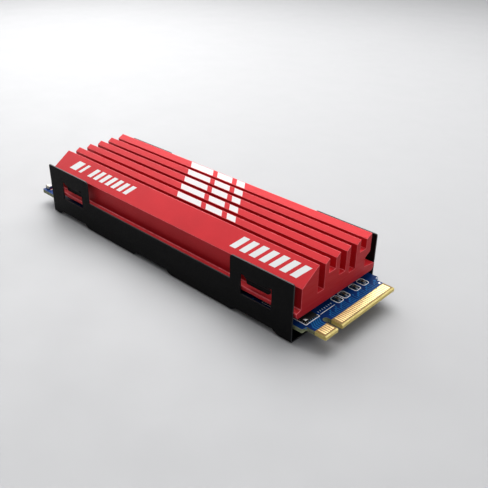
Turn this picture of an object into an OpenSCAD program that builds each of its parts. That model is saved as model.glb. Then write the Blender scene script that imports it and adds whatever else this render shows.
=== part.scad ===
// Solid state drive, 22 x 80 mm card form, with a finned heat sink clipped on by a folded steel bracket.
// Millimetres. The origin is the middle of the bracket's underside, +X points out of the card edge
// (the plug-in end), +Z points up out of the fins, and the key notch is on the -Y side.

/* [Card] */
// Length of the board, from the screw end to the tip of the card edge
board_l = 80.1; // [79.9:0.05:80.3]
// Width of the board
board_w = 22; // [21.8:0.1:22]
// Thickness of the board
board_t = 0.8; // [0.7:0.05:0.85]
// Length of the narrow tongue that enters the socket
tongue_l = 4; // [3.8:0.1:4.2]
// Width of the tongue
tongue_w = 19.85; // [19.6:0.05:20]
// Distance of the key notch from the board's centre line
key_offset = 6.125; // [6:0.005:6.2]
// Width of the key notch
key_w = 1.2; // [1.1:0.05:1.25]
// Depth of the key notch from the tip
key_l = 3.5; // [3:0.1:3.7]
// Radius of the half-round screw notch in the end of the board
screw_notch_r = 1.75; // [1.6:0.05:1.9]
// Radius of the bare metal ring round the screw notch
screw_pad_r = 2.75; // [2.6:0.05:3]
// Pitch of the card-edge contacts
contact_pitch = 0.5; // [0.5:0.01:0.5]
// Width of one contact
contact_w = 0.35; // [0.3:0.01:0.4]
// Length of one contact
contact_l = 1.65; // [1.4:0.05:2]

/* [Heat sink] */
// Length of the heat sink
sink_l = 69.8; // [66:0.1:70]
// Distance between one fin and the next
fin_pitch = 2.94; // [2.8:0.01:3]
// Thickness of a fin
fin_t = 1.12; // [0.9:0.01:1.3]
// How far a fin's near edge lies below its far edge
fin_drop = 0.7; // [0.3:0.05:0.9]
// Height of the heat sink's own top above the bracket's underside
sink_top = 12.9; // [12.5:0.1:13.2]
// Height of the heat sink's flat underside
sink_base = 4.75; // [4.7:0.05:4.85]

/* [Bracket] */
// Length of the bracket
bracket_l = 68.8; // [66:0.1:69.6]
// Width over the bracket's side walls
bracket_w = 23.4; // [23.2:0.1:23.8]
// Thickness of the bracket's sheet
sheet_t = 0.3; // [0.2:0.05:0.35]
// Height of the side wall between the ears
wall_h = 6.55; // [6.2:0.05:7]
// Height of the ears at the ends of the wall
ear_h = 11.35; // [10.5:0.05:12]
// Length of an ear along the card
ear_l = 13.9; // [12.5:0.1:15]
// Length of the window in each ear
window_l = 7; // [6:0.1:7.5]
// Height of the window in each ear
window_h = 4; // [3.6:0.1:4.2]

/* [Chips] */
// Height of a flash or working-memory package over the board
package_h = 0.95; // [0.85:0.05:1]
// Length of a flash package along the card
flash_l = 12; // [11:0.5:12]
// Width of a flash package across the card
flash_w = 18; // [14:0.5:18]
// Side of the square controller package
controller_s = 12; // [10:0.5:12]

/* [Hidden] */

$fn = 64;
eps = 0.01;

// Card levels and ends
board_z0 = 2.6;                          // underside of the board
board_z1 = board_z0 + board_t;           // top of the board
tip_x = board_l / 2;                     // tip of the card edge
end_x = -board_l / 2;                    // screw end of the board
shoulder_x = tip_x - tongue_l;           // where the tongue meets the full width
board_corner_r = 0.5;
bevel_l = 0.3;                           // length of the bevel at the card edge's tip
bevel_h = 0.12;                          // how much the bevel takes off each face
metal_t = 0.03;                          // thickness of exposed metal on the board
contact_gap = 0.55;                      // bare board between a contact and the tip

// Contacts: first and last rows on each face, counted in pitches from the centre line
top_long_first = 9.25;
top_long_count = 29;
top_short_first = -7.25;
top_short_count = 5;
bottom_long_first = 9.0;
bottom_long_count = 29;
bottom_short_first = -7.5;
bottom_short_count = 4;

// Heat sink section: -Y side first
sink_wall_y = -10.15;                    // upright wall under the broad sloping face
sink_brow_z = 10.1;                      // lower edge of the broad sloping face
sink_ridge_y = -6.0;                     // upper edge of the broad sloping face
first_fin_y = -4.3;                      // near face of the second fin
fin_count = 5;                           // thin fins after the broad one
slot_floors = [7.45, 10.1, 8.4, 7.5, 10.3];
far_fin_y = 8.9;                         // outer face of the last fin
far_notch_top = 9.3;                     // where the last fin starts to slope inwards
far_notch_low = 8.45;                    // where it turns upright again
far_wall_y = 7.5;                        // outer face of the wall below the last fin
lip_low = 5.3;                           // where the lips' lower bevels begin
near_lip = [[-10.9, sink_base], [-11.3, lip_low], [-11.3, 5.9], [sink_wall_y, 6.18]];
far_lip = [[far_wall_y, 6.6], [10.7, 6.16], [10.7, lip_low], [10.2, sink_base]];

// Bracket
wall_in = bracket_w / 2 - sheet_t;       // inner face of a side wall
bend_r = 0.5;                            // outer radius of the bends along the bottom
bracket_x1 = bracket_l / 2;
ear_x0 = bracket_x1 - ear_l;             // inner end of an ear
ear_cut = 0.6;                           // bevel at the top inner corner of an ear
window_x0 = 22.9;                        // window's inner end
window_z0 = 4.5;                         // window's bottom
window_z1 = window_z0 + window_h;        // window's top, where the tab bends in
tab_side_gap = 0.85;                     // gap between tab and window at each side
tab_end_y = 10.75;                       // inner face of the tab's lower edge, over the lip
tab_end_z = 6.65;
relief_h = 0.95;                         // height of the cut-outs along the bottom edge
relief_slope = 1.5;                      // length of the slope at each end of a cut-out
relief_depth = 1.3;                      // how far a cut-out reaches under the card
reliefs = [[-31.1, -22.7], [-5.3, 3.5], [21.9, 30.3]];

// Stack between board, pads and metal
pad_x0 = -31;
upper_pad_x1 = 24.5;
lower_pad_x1 = 11;
pad_w = 19;
lid_t = 0.2;
lid_s = controller_s - 3;
flash_x = [-7, -23.5];                   // centres of the flash packages
memory_l = 8;
memory_w = 12;
memory_x = 5.5;
controller_x = 17.5;
small_chip_h = 0.8;
flat_chip_h = 0.4;                       // height of the chip beside the key

// Small parts: sizes are [length, width, height] with the length between the terminals
cap_small = [1.0, 0.5, 0.5];
cap_flat = [1.0, 0.5, 0.3];
cap_large = [2.0, 1.25, 0.85];
terminal_small = 0.25;
terminal_large = 0.4;
skin = 0.02;                             // thickness of a terminal's metal over the body
coupling_y = [-0.1, 1.9, 5.1, 7.55];
coupling_x = 34.9;
end_cap = [1.6, 0.8, 0.8];
end_cap_at = [-39.1, -9.75];
inductor = [2.5, 2.0, 1.0];
inductor_at = [[29.4, 0.4], [29.4, 3.4], [29.4, 6.4]];
bulk_at = [[25.4, -7.6], [25.4, 8.2]];
decoupling_rows = [10.5, 24.6];          // columns of capacitors beside the controller
decoupling_count = 7;
decoupling_pitch = 2.2;
resistor_x = [32.4, 26.4];
resistor_count = 4;
resistor_pitch = 1.3;

// --- building blocks ---

// Slab centred on at = [x, y], standing on level z
module slab(at, size, z) {
    translate([at[0] - size[0] / 2, at[1] - size[1] / 2, z]) cube(size);
}

// The same slab hanging below level z
module hung_slab(at, size, z) {
    slab(at, size, z - size[2]);
}

// Body of a chip part whose terminals lie along X, without its two metal ends
module part_body(at, size, terminal, z) {
    slab(at, [size[0] - 2 * terminal, size[1] - 2 * skin, size[2] - skin], z);
}

// The two metal ends of such a part
module part_terminals(at, size, terminal, z) {
    reach = (size[0] - terminal) / 2;
    for (side = [-1, 1]) slab([at[0] + side * reach, at[1]], [terminal, size[1], size[2]], z);
}

// One row of contacts starting at y = first and stepping towards -Y
module contact_row(first, count, z) {
    for (i = [0 : count - 1])
        translate([tip_x - contact_gap - contact_l, first - i * contact_pitch - contact_w / 2, z])
            cube([contact_l, contact_w, metal_t]);
}

// Outline in the Y-Z plane carried along X, from -length/2 to +length/2
module along_card(length) {
    rotate([90, 0, 90]) translate([0, 0, -length / 2]) linear_extrude(length) children();
}

// --- card ---

module board_outline() {
    difference() {
        union() {
            translate([end_x + board_corner_r, -board_w / 2])
                square([shoulder_x - end_x - board_corner_r, board_w]);
            translate([end_x, -board_w / 2 + board_corner_r])
                square([board_corner_r + eps, board_w - 2 * board_corner_r]);
            for (side = [-1, 1])
                translate([end_x + board_corner_r, side * (board_w / 2 - board_corner_r)])
                    circle(board_corner_r);
            translate([shoulder_x - eps, -tongue_w / 2]) square([tongue_l + eps, tongue_w]);
        }
        translate([tip_x - key_l + key_w / 2, -key_offset]) circle(key_w / 2);
        translate([tip_x - key_l + key_w / 2, -key_offset - key_w / 2]) square([key_l, key_w]);
    }
}

module circuit_board() {
    color("#14408c")
    difference() {
        translate([0, 0, board_z0]) linear_extrude(board_t) board_outline();
        translate([end_x, 0, board_z0 - 1]) cylinder(r = screw_notch_r, h = board_t + 2);
        // bevels on both faces of the card edge
        for (face = [0, 1])
            translate([0, board_w, board_z0 + face * board_t]) mirror([0, 0, face]) rotate([90, 0, 0])
                linear_extrude(2 * board_w)
                    polygon([[tip_x - bevel_l, 0], [tip_x, bevel_h], [tip_x + 1, bevel_h],
                        [tip_x + 1, -1], [tip_x - bevel_l, -1]]);
    }
}

// Half ring of bare metal round the screw notch
module mounting_pad(z) {
    color("gold")
    intersection() {
        difference() {
            translate([end_x, 0, z]) cylinder(r = screw_pad_r, h = metal_t);
            translate([end_x, 0, z - 1]) cylinder(r = screw_notch_r, h = metal_t + 2);
        }
        translate([end_x, -screw_pad_r, z - 1]) cube([screw_pad_r, 2 * screw_pad_r, metal_t + 2]);
    }
}

module mounting_pad_top() { mounting_pad(board_z1); }

module mounting_pad_bottom() { mounting_pad(board_z0 - metal_t); }

module edge_contacts_top() {
    color("gold") {
        contact_row(top_long_first, top_long_count, board_z1);
        contact_row(top_short_first, top_short_count, board_z1);
    }
}

module edge_contacts_bottom() {
    color("gold") {
        contact_row(bottom_long_first, bottom_long_count, board_z0 - metal_t);
        contact_row(bottom_short_first, bottom_short_count, board_z0 - metal_t);
    }
}

// --- heat sink ---

// Points of one thin fin and the slot on its near side, going towards +Y
function fin_points(i) = let (
        near = first_fin_y + i * fin_pitch,
        slot_start = i == 0 ? sink_ridge_y : near - fin_pitch + fin_t,
        far = i == fin_count - 1 ? far_fin_y : near + fin_t)
    [[slot_start, slot_floors[i]], [near, slot_floors[i]], [near, sink_top - fin_drop], [far, sink_top]];

module heat_sink() {
    fins = [for (i = [0 : fin_count - 1]) each fin_points(i)];
    color("#d8444e")
    along_card(sink_l)
        polygon(concat(near_lip,
            [[sink_wall_y, sink_brow_z], [sink_ridge_y, sink_top]],
            fins,
            [[far_fin_y, far_notch_top], [far_wall_y, far_notch_low]],
            far_lip));
}

// --- bracket ---

// U-shaped section of the folded sheet, open at the top
module bracket_section() {
    half = bracket_w / 2;
    difference() {
        union() {
            translate([-half, bend_r]) square([bracket_w, ear_h - bend_r]);
            translate([-half + bend_r, 0]) square([bracket_w - 2 * bend_r, bend_r + eps]);
            for (side = [-1, 1]) translate([side * (half - bend_r), bend_r]) circle(bend_r);
        }
        translate([-wall_in, bend_r]) square([2 * wall_in, ear_h]);
        translate([-half + bend_r, sheet_t]) square([bracket_w - 2 * bend_r, bend_r]);
        for (side = [-1, 1]) translate([side * (half - bend_r), bend_r]) circle(bend_r - sheet_t);
    }
}

// Outline of what is cut away above the wall, seen from the side
module ear_gap() {
    polygon([[-ear_x0, wall_h], [ear_x0, wall_h], [ear_x0, ear_h - ear_cut],
        [ear_x0 + ear_cut, ear_h + eps], [ear_x0 + ear_cut, ear_h + 1], [-ear_x0 - ear_cut, ear_h + 1],
        [-ear_x0 - ear_cut, ear_h + eps], [-ear_x0, ear_h - ear_cut]]);
}

// Cut-out with sloping ends along the bottom edge
module relief(span) {
    polygon([[span[0] - relief_slope, -eps], [span[0], relief_h], [span[1], relief_h],
        [span[1] + relief_slope, -eps]]);
}

// Sprung tab that leans in from the top edge of a window and catches the lip if the sink lifts
module tab(x0) {
    lean = bracket_w / 2 - sheet_t - tab_end_y;
    translate([x0 + tab_side_gap, 0, 0]) rotate([90, 0, 90])
        linear_extrude(window_l - 2 * tab_side_gap)
            polygon([[wall_in, window_z1 + eps], [wall_in - lean, tab_end_z],
                [wall_in - lean + sheet_t, tab_end_z - eps], [wall_in + sheet_t, window_z1 + eps]]);
}

module retaining_bracket() {
    color("#1c1c1c") {
        difference() {
            along_card(bracket_l) bracket_section();
            translate([0, bracket_w, 0]) rotate([90, 0, 0]) linear_extrude(2 * bracket_w) ear_gap();
            for (side = [-1, 1]) {
                for (x0 = [-window_x0 - window_l, window_x0])
                    translate([x0, side * wall_in - (side < 0 ? sheet_t + 1 : 1), window_z0])
                        cube([window_l, sheet_t + 2, window_h]);
                for (span = reliefs)
                    translate([0, side * (bracket_w / 2 - relief_depth / 2 + 0.5), 0])
                        rotate([90, 0, 0]) linear_extrude(relief_depth + 1, center = true) relief(span);
            }
        }
        for (side = [0, 1], x0 = [-window_x0 - window_l, window_x0])
            mirror([0, side, 0]) tab(x0);
    }
}

// --- thermal pads ---

module thermal_pad_upper() {
    pad_z = board_z1 + package_h;
    color("#9fb6c9") translate([pad_x0, -pad_w / 2, pad_z])
        cube([upper_pad_x1 - pad_x0, pad_w, sink_base - pad_z]);
}

module thermal_pad_lower() {
    color("#9fb6c9") translate([pad_x0, -pad_w / 2, sheet_t])
        cube([lower_pad_x1 - pad_x0, pad_w, board_z0 - package_h - sheet_t]);
}

// --- chips ---

module controller_package() {
    color("#202224")
        slab([controller_x, 0], [controller_s, controller_s, package_h - lid_t], board_z1);
}

module controller_lid() {
    color("#b9bdc2")
        slab([controller_x, 0], [lid_s, lid_s, lid_t], board_z1 + package_h - lid_t);
}

module memory_package_top() {
    color("#202224") slab([memory_x, 0], [memory_l, memory_w, package_h], board_z1);
}

module memory_package_bottom() {
    color("#202224") hung_slab([memory_x, 0], [memory_l, memory_w, package_h], board_z0);
}

module flash_package(x) { color("#232527") slab([x, 0], [flash_l, flash_w, package_h], board_z1); }

module hung_flash_package(x) {
    color("#232527") hung_slab([x, 0], [flash_l, flash_w, package_h], board_z0);
}

module power_manager_chip() { color("#242424") slab([29.4, -3.6], [4, 4, small_chip_h], board_z1); }

module load_switch_chip() { color("#181818") slab([33.95, -7.9], [3.0, 3.0, flat_chip_h], board_z1); }

module boot_memory_chip() { color("#242424") slab([28.6, -8.1], [4, 3, small_chip_h], board_z1); }

module step_down_chips() {
    color("#242424")
        for (y = [1.9, 4.9]) slab([26.2, y], [1.6, 1.6, small_chip_h - 0.2], board_z1);
}

module temperature_sensor() { color("#242424") slab([-33, 4], [1.6, 1.6, 0.6], board_z1); }

module inductor_cores() {
    color("#3c3c3e") for (at = inductor_at) part_body(at, inductor, terminal_large, board_z1);
}

module inductor_terminals() {
    color("silver") for (at = inductor_at) part_terminals(at, inductor, terminal_large, board_z1);
}

module clock_crystal_base() { color("#d8d2c0") slab([21, 8.2], [2.5, 2.0, 0.35], board_z1); }

module clock_crystal_lid() { color("silver") slab([21, 8.2], [2.2, 1.7, 0.2], board_z1 + 0.35); }

// --- small parts ---

module bulk_capacitor_bodies() {
    color("#a3835b") for (at = bulk_at) part_body(at, cap_large, terminal_large, board_z1);
}

module bulk_capacitor_terminals() {
    color("silver") for (at = bulk_at) part_terminals(at, cap_large, terminal_large, board_z1);
}

module coupling_capacitor_bodies() {
    color("#a3835b")
        for (y = coupling_y) part_body([coupling_x, y], cap_flat, terminal_small, board_z1);
}

module coupling_capacitor_terminals() {
    color("silver")
        for (y = coupling_y) part_terminals([coupling_x, y], cap_flat, terminal_small, board_z1);
}

// Places of the decoupling capacitors, as [x, y]
decoupling_at = [for (x = decoupling_rows, i = [0 : decoupling_count - 1])
    if (x < controller_x || abs(i - (decoupling_count - 1) / 2) < 2.5)
        [x, (i - (decoupling_count - 1) / 2) * decoupling_pitch]];

module decoupling_capacitors_top() {
    color("#a3835b") for (at = decoupling_at) part_body(at, cap_small, terminal_small, board_z1);
}

module decoupling_terminals_top() {
    color("silver") for (at = decoupling_at) part_terminals(at, cap_small, terminal_small, board_z1);
}

// Under the controller, a grid of capacitors hangs from the board
under_at = [for (x = [13.5 : 2 : 21.5], y = [-6 : 2.4 : 6]) [x, y]];

module decoupling_capacitors_bottom() {
    color("#a3835b")
        for (at = under_at) part_body(at, cap_small, terminal_small, board_z0 - cap_small[2] + skin);
}

module decoupling_terminals_bottom() {
    color("silver")
        for (at = under_at) part_terminals(at, cap_small, terminal_small, board_z0 - cap_small[2]);
}

// Places of the resistors, as [x, y]
resistor_at = [for (x = resistor_x, i = [0 : resistor_count - 1])
    [x, (x > 30 ? 1.2 : -5.6) + i * resistor_pitch]];

module resistor_bodies() {
    color("#151515") for (at = resistor_at) part_body(at, cap_small, terminal_small, board_z1);
}

module resistor_terminals() {
    color("silver") for (at = resistor_at) part_terminals(at, cap_small, terminal_small, board_z1);
}

module end_capacitor_body() { color("#d9d4c6") part_body(end_cap_at, end_cap, terminal_large, board_z1); }

module end_capacitor_terminals() {
    color("silver") part_terminals(end_cap_at, end_cap, terminal_large, board_z1);
}

heat_sink();
retaining_bracket();
circuit_board();
mounting_pad_top();
mounting_pad_bottom();
edge_contacts_top();
edge_contacts_bottom();
thermal_pad_upper();
thermal_pad_lower();
controller_package();
controller_lid();
memory_package_top();
memory_package_bottom();
flash_package(flash_x[0]);  // flash_package_1
flash_package(flash_x[1]);  // flash_package_2
hung_flash_package(flash_x[0]);  // flash_package_3
hung_flash_package(flash_x[1]);  // flash_package_4
power_manager_chip();
load_switch_chip();
boot_memory_chip();
step_down_chips();
inductor_cores();
inductor_terminals();
clock_crystal_base();
clock_crystal_lid();
bulk_capacitor_bodies();
bulk_capacitor_terminals();
coupling_capacitor_bodies();
coupling_capacitor_terminals();
decoupling_capacitors_top();
decoupling_terminals_top();
decoupling_capacitors_bottom();
decoupling_terminals_bottom();
resistor_bodies();
resistor_terminals();
end_capacitor_body();
end_capacitor_terminals();
temperature_sensor();
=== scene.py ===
"""Looks of a card-form solid state drive: a finned red heat sink held on a blue board by a folded bracket.

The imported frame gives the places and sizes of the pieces. Lengths in the builders are millimetres on its
axes: X runs along the card and out of its gold edge, Z points out of the fins. Meshes are metres.
"""

import math

import bpy
import numpy as np
from bpy.props import FloatProperty, FloatVectorProperty, PointerProperty
from bpy.types import Operator, Panel, PropertyGroup
from mathutils import Matrix, Vector


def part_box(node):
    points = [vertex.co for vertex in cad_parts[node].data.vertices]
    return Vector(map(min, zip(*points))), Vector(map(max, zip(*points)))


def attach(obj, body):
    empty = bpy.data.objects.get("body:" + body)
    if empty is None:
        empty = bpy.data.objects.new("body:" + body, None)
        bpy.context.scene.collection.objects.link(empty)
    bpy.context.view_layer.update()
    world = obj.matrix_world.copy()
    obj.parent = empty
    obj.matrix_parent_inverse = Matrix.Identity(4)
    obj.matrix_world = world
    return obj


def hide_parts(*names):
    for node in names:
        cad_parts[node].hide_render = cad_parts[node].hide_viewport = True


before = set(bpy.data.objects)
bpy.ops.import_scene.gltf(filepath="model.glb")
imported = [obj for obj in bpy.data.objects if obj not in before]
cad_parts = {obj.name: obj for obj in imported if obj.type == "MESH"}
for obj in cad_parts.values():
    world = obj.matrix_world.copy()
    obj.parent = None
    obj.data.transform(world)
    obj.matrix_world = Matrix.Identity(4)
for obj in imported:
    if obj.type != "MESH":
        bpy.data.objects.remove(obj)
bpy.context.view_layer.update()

bl_info = {
    "name": "Solid state drive with a finned heat sink",
    "version": (1, 0, 0),
    "blender": (4, 5, 0),
    "location": "3D View > Sidebar > Drive",
    "description": "Builds the visible pieces of a card-form solid state drive round its frame",
    "category": "Object",
}

MM = 0.001


# ---- sizes taken from the frame

def box_mm(node):
    """Lowest and highest corner of a CAD node in millimetres."""
    low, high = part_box(node)
    return np.array(low) / MM, np.array(high) / MM


def solids_mm(node):
    """Boxes (n, 2, 3) of the separate solids in a CAD node, in order of X, then Y.

    Corners that share a place become one, every corner starts with a label of its own, and each triangle then
    gives its three corners the lowest label among them, until no label changes.
    """
    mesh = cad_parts[node].data
    places = np.empty(len(mesh.vertices) * 3)
    mesh.vertices.foreach_get("co", places)
    places = places.reshape(-1, 3) / MM
    corners = np.empty(len(mesh.loops), int)
    mesh.loops.foreach_get("vertex_index", corners)
    unique, merged = np.unique(places.round(4), axis=0, return_inverse=True)
    triangles = merged.ravel()[corners].reshape(-1, 3)
    label = np.arange(len(unique))
    settled = False
    while not settled:
        spread = label.copy()
        np.minimum.at(spread, triangles.ravel(), np.repeat(label[triangles].min(axis=1), 3))
        settled = bool((spread == label).all())
        label = spread
    boxes = [[unique[label == k].min(axis=0), unique[label == k].max(axis=0)] for k in np.unique(label)]
    return np.array(sorted(boxes, key=lambda box: tuple(box[0].round(2))))


# ---- settings

def colour_of(name, description, default):
    """A colour setting."""
    return FloatVectorProperty(
        name=name, description=description, default=default, subtype="COLOR", size=3, min=0, max=1)


def length_of(name, description, default, low, high):
    """A length setting in metres."""
    return FloatProperty(
        name=name, description=description, default=default, unit="LENGTH", min=low, max=high)


def angle_of(name, description, degrees, **limits):
    """An angle setting, its default given in degrees."""
    return FloatProperty(name=name, description=description, default=math.radians(degrees), subtype="ANGLE",
                         unit="ROTATION", **limits)


def power_of(name, description, default):
    """A lamp's power setting in watts."""
    return FloatProperty(name=name, description=description, min=0, default=default)


class DriveSinkSettings(PropertyGroup):
    colour: colour_of("Anodised colour", "Dyed oxide of the heat sink", (0.45, 0.011, 0.017))
    # The edge colour lightens every rounded edge of the heat sink, hollow ones too. It is a painted highlight
    # where light would catch them, with some rubbed-thin dye on the outer edges.
    worn_colour: colour_of("Edge colour", "Painted highlight along the rounded edges, with some thinner dye", (0.82, 0.17, 0.19))
    edge_radius: length_of("Edge radius", "Radius of the outer edges", 0.00008, 0.00002, 0.0002)
    end_radius: length_of("Sawn end radius", "Radius round the two sawn ends", 0.00007, 0.00002, 0.0002)
    paint_colour: colour_of("Paint colour", "Printed bars on the heat sink", (0.66, 0.66, 0.655))


class DriveBracketSettings(PropertyGroup):
    colour: colour_of("Coat colour", "Powder coat of the bracket", (0.0050, 0.0050, 0.0053))
    # The cut edge colour is lighter and glossier than the coat: a painted highlight along the sheared edges.
    cut_edge_highlight_colour: colour_of("Cut edge highlight colour", "Painted highlight along the sheared edges", (0.022, 0.023, 0.025))
    bend_radius: length_of("Bend radius", "Outer radius of the bottom folds", 0.0005, 0.0004, 0.0008)
    tab_lean: angle_of("Tab lean", "Steepest angle of the sprung tabs", 41, min=0.2, max=0.8)


class DriveBoardSettings(PropertyGroup):
    mask_colour: colour_of("Solder mask colour", "Blue lacquer over the board", (0.0014, 0.025, 0.125))
    trace_colour: colour_of("Trace colour", "The same lacquer over copper", (0.0090, 0.120, 0.330))
    trace_width: length_of("Trace width", "Width of a signal trace", 0.00014, 0.00008, 0.0003)
    print_width: length_of("Print width", "Width of the white printed lines", 0.00014, 0.00008, 0.0003)
    bare_length: length_of("Bare tongue length", "Card edge without solder mask", 0.0023, 0.0020, 0.0026)


class DriveStageSettings(PropertyGroup):
    floor_colour: colour_of("Floor colour", "Plain pale floor", (0.37, 0.37, 0.375))
    aim: FloatVectorProperty(
        name="Aim", description="Point that the camera looks at", default=(0.00822, 0.00502, 0.00163),
        subtype="TRANSLATION", unit="LENGTH", size=3)
    azimuth: angle_of("Azimuth", "Camera's turn round the object from the -Y side", 42.80)
    elevation: angle_of("Elevation", "Camera's height above the horizon", 29.43)
    roll: angle_of("Roll", "Camera's turn about its own axis", 0.93)
    distance: length_of("Distance", "From the camera to the aim", 0.13179, 0.05, 1.0)
    lens: FloatProperty(name="Lens", description="Focal length in millimetres", default=48.139)
    key_power: power_of("Key power", "Overhead soft box, in watts", 1.5)
    sheen_power: power_of("Sheen power", "Soft box behind the screw end, in watts", 0.82)
    fill_power: power_of("Fill power", "Soft box at the card edge's side, in watts", 0.20)


# ---- surfaces

def unit(v):
    """Vectors scaled to length one along the last axis."""
    return v / np.linalg.norm(v, axis=-1, keepdims=True)


def loft(rings, closed=False):
    """Skin over rings[k, m, 3]: quads join each closed ring to the next one. An n-gon closes each end, or the
    last ring joins the first one on a closed path. Rings run anticlockwise seen from the path's far end."""
    rings = np.asarray(rings, float)
    at = np.arange(rings.shape[0] * rings.shape[1]).reshape(rings.shape[:2])
    low, high = (at, np.roll(at, -1, 0)) if closed else (at[:-1], at[1:])
    faces = np.stack([low, np.roll(low, -1, 1), np.roll(high, -1, 1), high], -1).reshape(-1, 4).tolist()
    if not closed:
        faces += [at[0, ::-1].tolist(), at[-1].tolist()]
    return rings.reshape(-1, 3), faces


def rounded_outline(corners, radii, steps=4):
    """Closed outline with an arc at every corner, and its outward normals.

    With a and b the unit directions from a corner to its neighbours and w the angle between them, the arc's
    ends lie r / tan(w / 2) along a and b, its centre lies r / sin(w / 2) along their bisector, and the points
    between turn evenly from one end to the other. The segment after every steps + 1 points is straight.
    """
    corners = np.asarray(corners, float)
    r = np.broadcast_to(np.asarray(radii, float), len(corners))[:, None]
    before = unit(np.roll(corners, 1, 0) - corners)
    after = unit(np.roll(corners, -1, 0) - corners)
    half = np.arccos(np.clip((before * after).sum(1, keepdims=True), -1, 1)) / 2
    centre = corners + unit(before + after) * r / np.sin(half)
    start = corners + before * r / np.tan(half) - centre
    end = corners + after * r / np.tan(half) - centre
    turn = (np.pi - 2 * half)[:, :, None]
    u = np.linspace(0, 1, steps + 1)[None, :, None]
    arc = (np.sin((1 - u) * turn) * start[:, None] + np.sin(u * turn) * end[:, None]) / np.sin(turn)
    outward = np.sign(before[:, 1] * after[:, 0] - before[:, 0] * after[:, 1])
    normals = unit(arc) * outward[:, None, None]
    return (centre[:, None] + arc).reshape(-1, 2), normals.reshape(-1, 2)


def eased(start, stop, radius, steps=3):
    """Insets and places along a path with a quarter circle at each end: the inset radius * (1 - sin t) goes
    with the travel radius * (1 - cos t)."""
    t = np.linspace(0, np.pi / 2, steps + 1)
    inset, travel = radius * (1 - np.sin(t)), radius * (1 - np.cos(t))
    return np.concatenate([inset, inset[::-1]]), np.concatenate([start + travel, stop - travel[::-1]])


def edge_marks(rings, count, steps, flat):
    """Marks of a lofted piece's faces: 1 on the arcs, 0 on the ends and on the flat sides after ring flat."""
    side = np.ones((rings - 1, count))
    side[flat] = np.arange(count) % (steps + 1) != steps
    return np.concatenate([side.ravel(), [0, 0]])


def carried(plan, along):
    """The third coordinate of a stack of flat outlines plan[k, m, 2]."""
    return np.broadcast_to(along[:, None, None], plan.shape[:2] + (1,))


def extruded_along_x(corners, radii, x0, x1, end_radius, steps=4):
    """Outline in Y and Z carried along X, drawn in by a quarter round at both ends:
    P(k, m) = (x_k, outline_m - inset_k * normal_m). Returns points, faces and the faces' edge marks."""
    outline, normals = rounded_outline(corners, radii, steps)
    inset, x = eased(x0, x1, end_radius)
    section = outline[None] - inset[:, None, None] * normals[None]
    points, faces = loft(np.concatenate([carried(section, x), section], -1))
    return points, faces, edge_marks(len(x), len(outline), steps, len(x) // 2 - 1)


FULL = 0.98                              # share of the room that an arc may fill at most


def slab(low, high, corner, edge, steps=3):
    """Box with arced upright corners and arced long edges: ring k is a rounded rectangle,
    P = centre +- (half size - corner) + (corner - inset_k) * (cos t, sin t), at height z_k."""
    low, high = np.asarray(low, float), np.asarray(high, float)
    centre, half = (low + high) / 2, (high - low) / 2
    edge = min(edge, half[2] * FULL)
    corner = min(max(corner, edge), half[:2].min() * FULL)
    inset, z = eased(low[2], high[2], min(edge, corner * FULL), steps)
    t = np.linspace(0, np.pi / 2, steps + 1)[None] + np.arange(4)[:, None] * np.pi / 2
    sign = np.array([[1, 1], [-1, 1], [-1, -1], [1, -1]])[:, None]
    core = (centre[:2] + sign * (half[:2] - corner))[None]
    arcs = np.stack([np.cos(t), np.sin(t)], -1)[None]
    plan = (core + (corner - inset)[:, None, None, None] * arcs).reshape(len(z), -1, 2)
    points, faces = loft(np.concatenate([plan, carried(plan, z)], -1))
    return points, faces, edge_marks(len(z), plan.shape[1], steps, steps)


def strip(path, width, z0, z1, closed=False):
    """Flat band along a path in X and Y: at each point the two sides lie width / 2 along the mitre, which is
    the mean of the neighbouring normals over its squared length. Its section is a rectangle from z0 to z1."""
    path = np.asarray(path, float)
    ahead = unit(np.roll(path, -1, 0) - path)
    back = np.roll(ahead, 1, 0)
    if not closed:
        ahead[-1], back[0] = ahead[-2], ahead[0]
    normal = (np.stack([-ahead[:, 1], ahead[:, 0]], -1) + np.stack([-back[:, 1], back[:, 0]], -1)) / 2
    mitre = normal / (normal ** 2).sum(-1, keepdims=True) * width / 2
    left, right = path + mitre, path - mitre
    sides = np.stack([right, left, left, right], 1)
    z = np.broadcast_to(np.array([z0, z0, z1, z1])[None, :, None], sides.shape[:2] + (1,))
    return loft(np.concatenate([sides, z], -1), closed)


def disc(centre, radius, z0, z1, count=12):
    """Round plate: circles at z0 and half way to z1, and a slightly smaller one at z1 that eases its edge."""
    t = np.linspace(0, 2 * np.pi, count, endpoint=False)
    circle = np.stack([np.cos(t), np.sin(t), np.zeros(count)], -1)
    ease = abs(z1 - z0) * 0.5
    middle = np.array([*centre, 0])
    levels = [(radius, z0), (radius, z0 + (z1 - z0) * 0.5), (radius - ease, z1)]
    rings = np.array([middle + circle * r + [0, 0, z] for r, z in levels])
    return loft(rings if z1 > z0 else rings[::-1])


def prism(outline, z0, z1):
    """Flat plate: an outline in X and Y at z0, and the same one at z1."""
    return loft([[(*at, z) for at in outline] for z in (z0, z1)])


def plate_on_plane(corners, rise):
    """Thin plate over a flat four-sided patch: the patch, and the same one lifted by rise."""
    corners = np.asarray(corners, float)
    normal = unit(np.cross(corners[1] - corners[0], corners[3] - corners[0]))
    return loft(np.array([corners, corners + normal * rise]))


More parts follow.
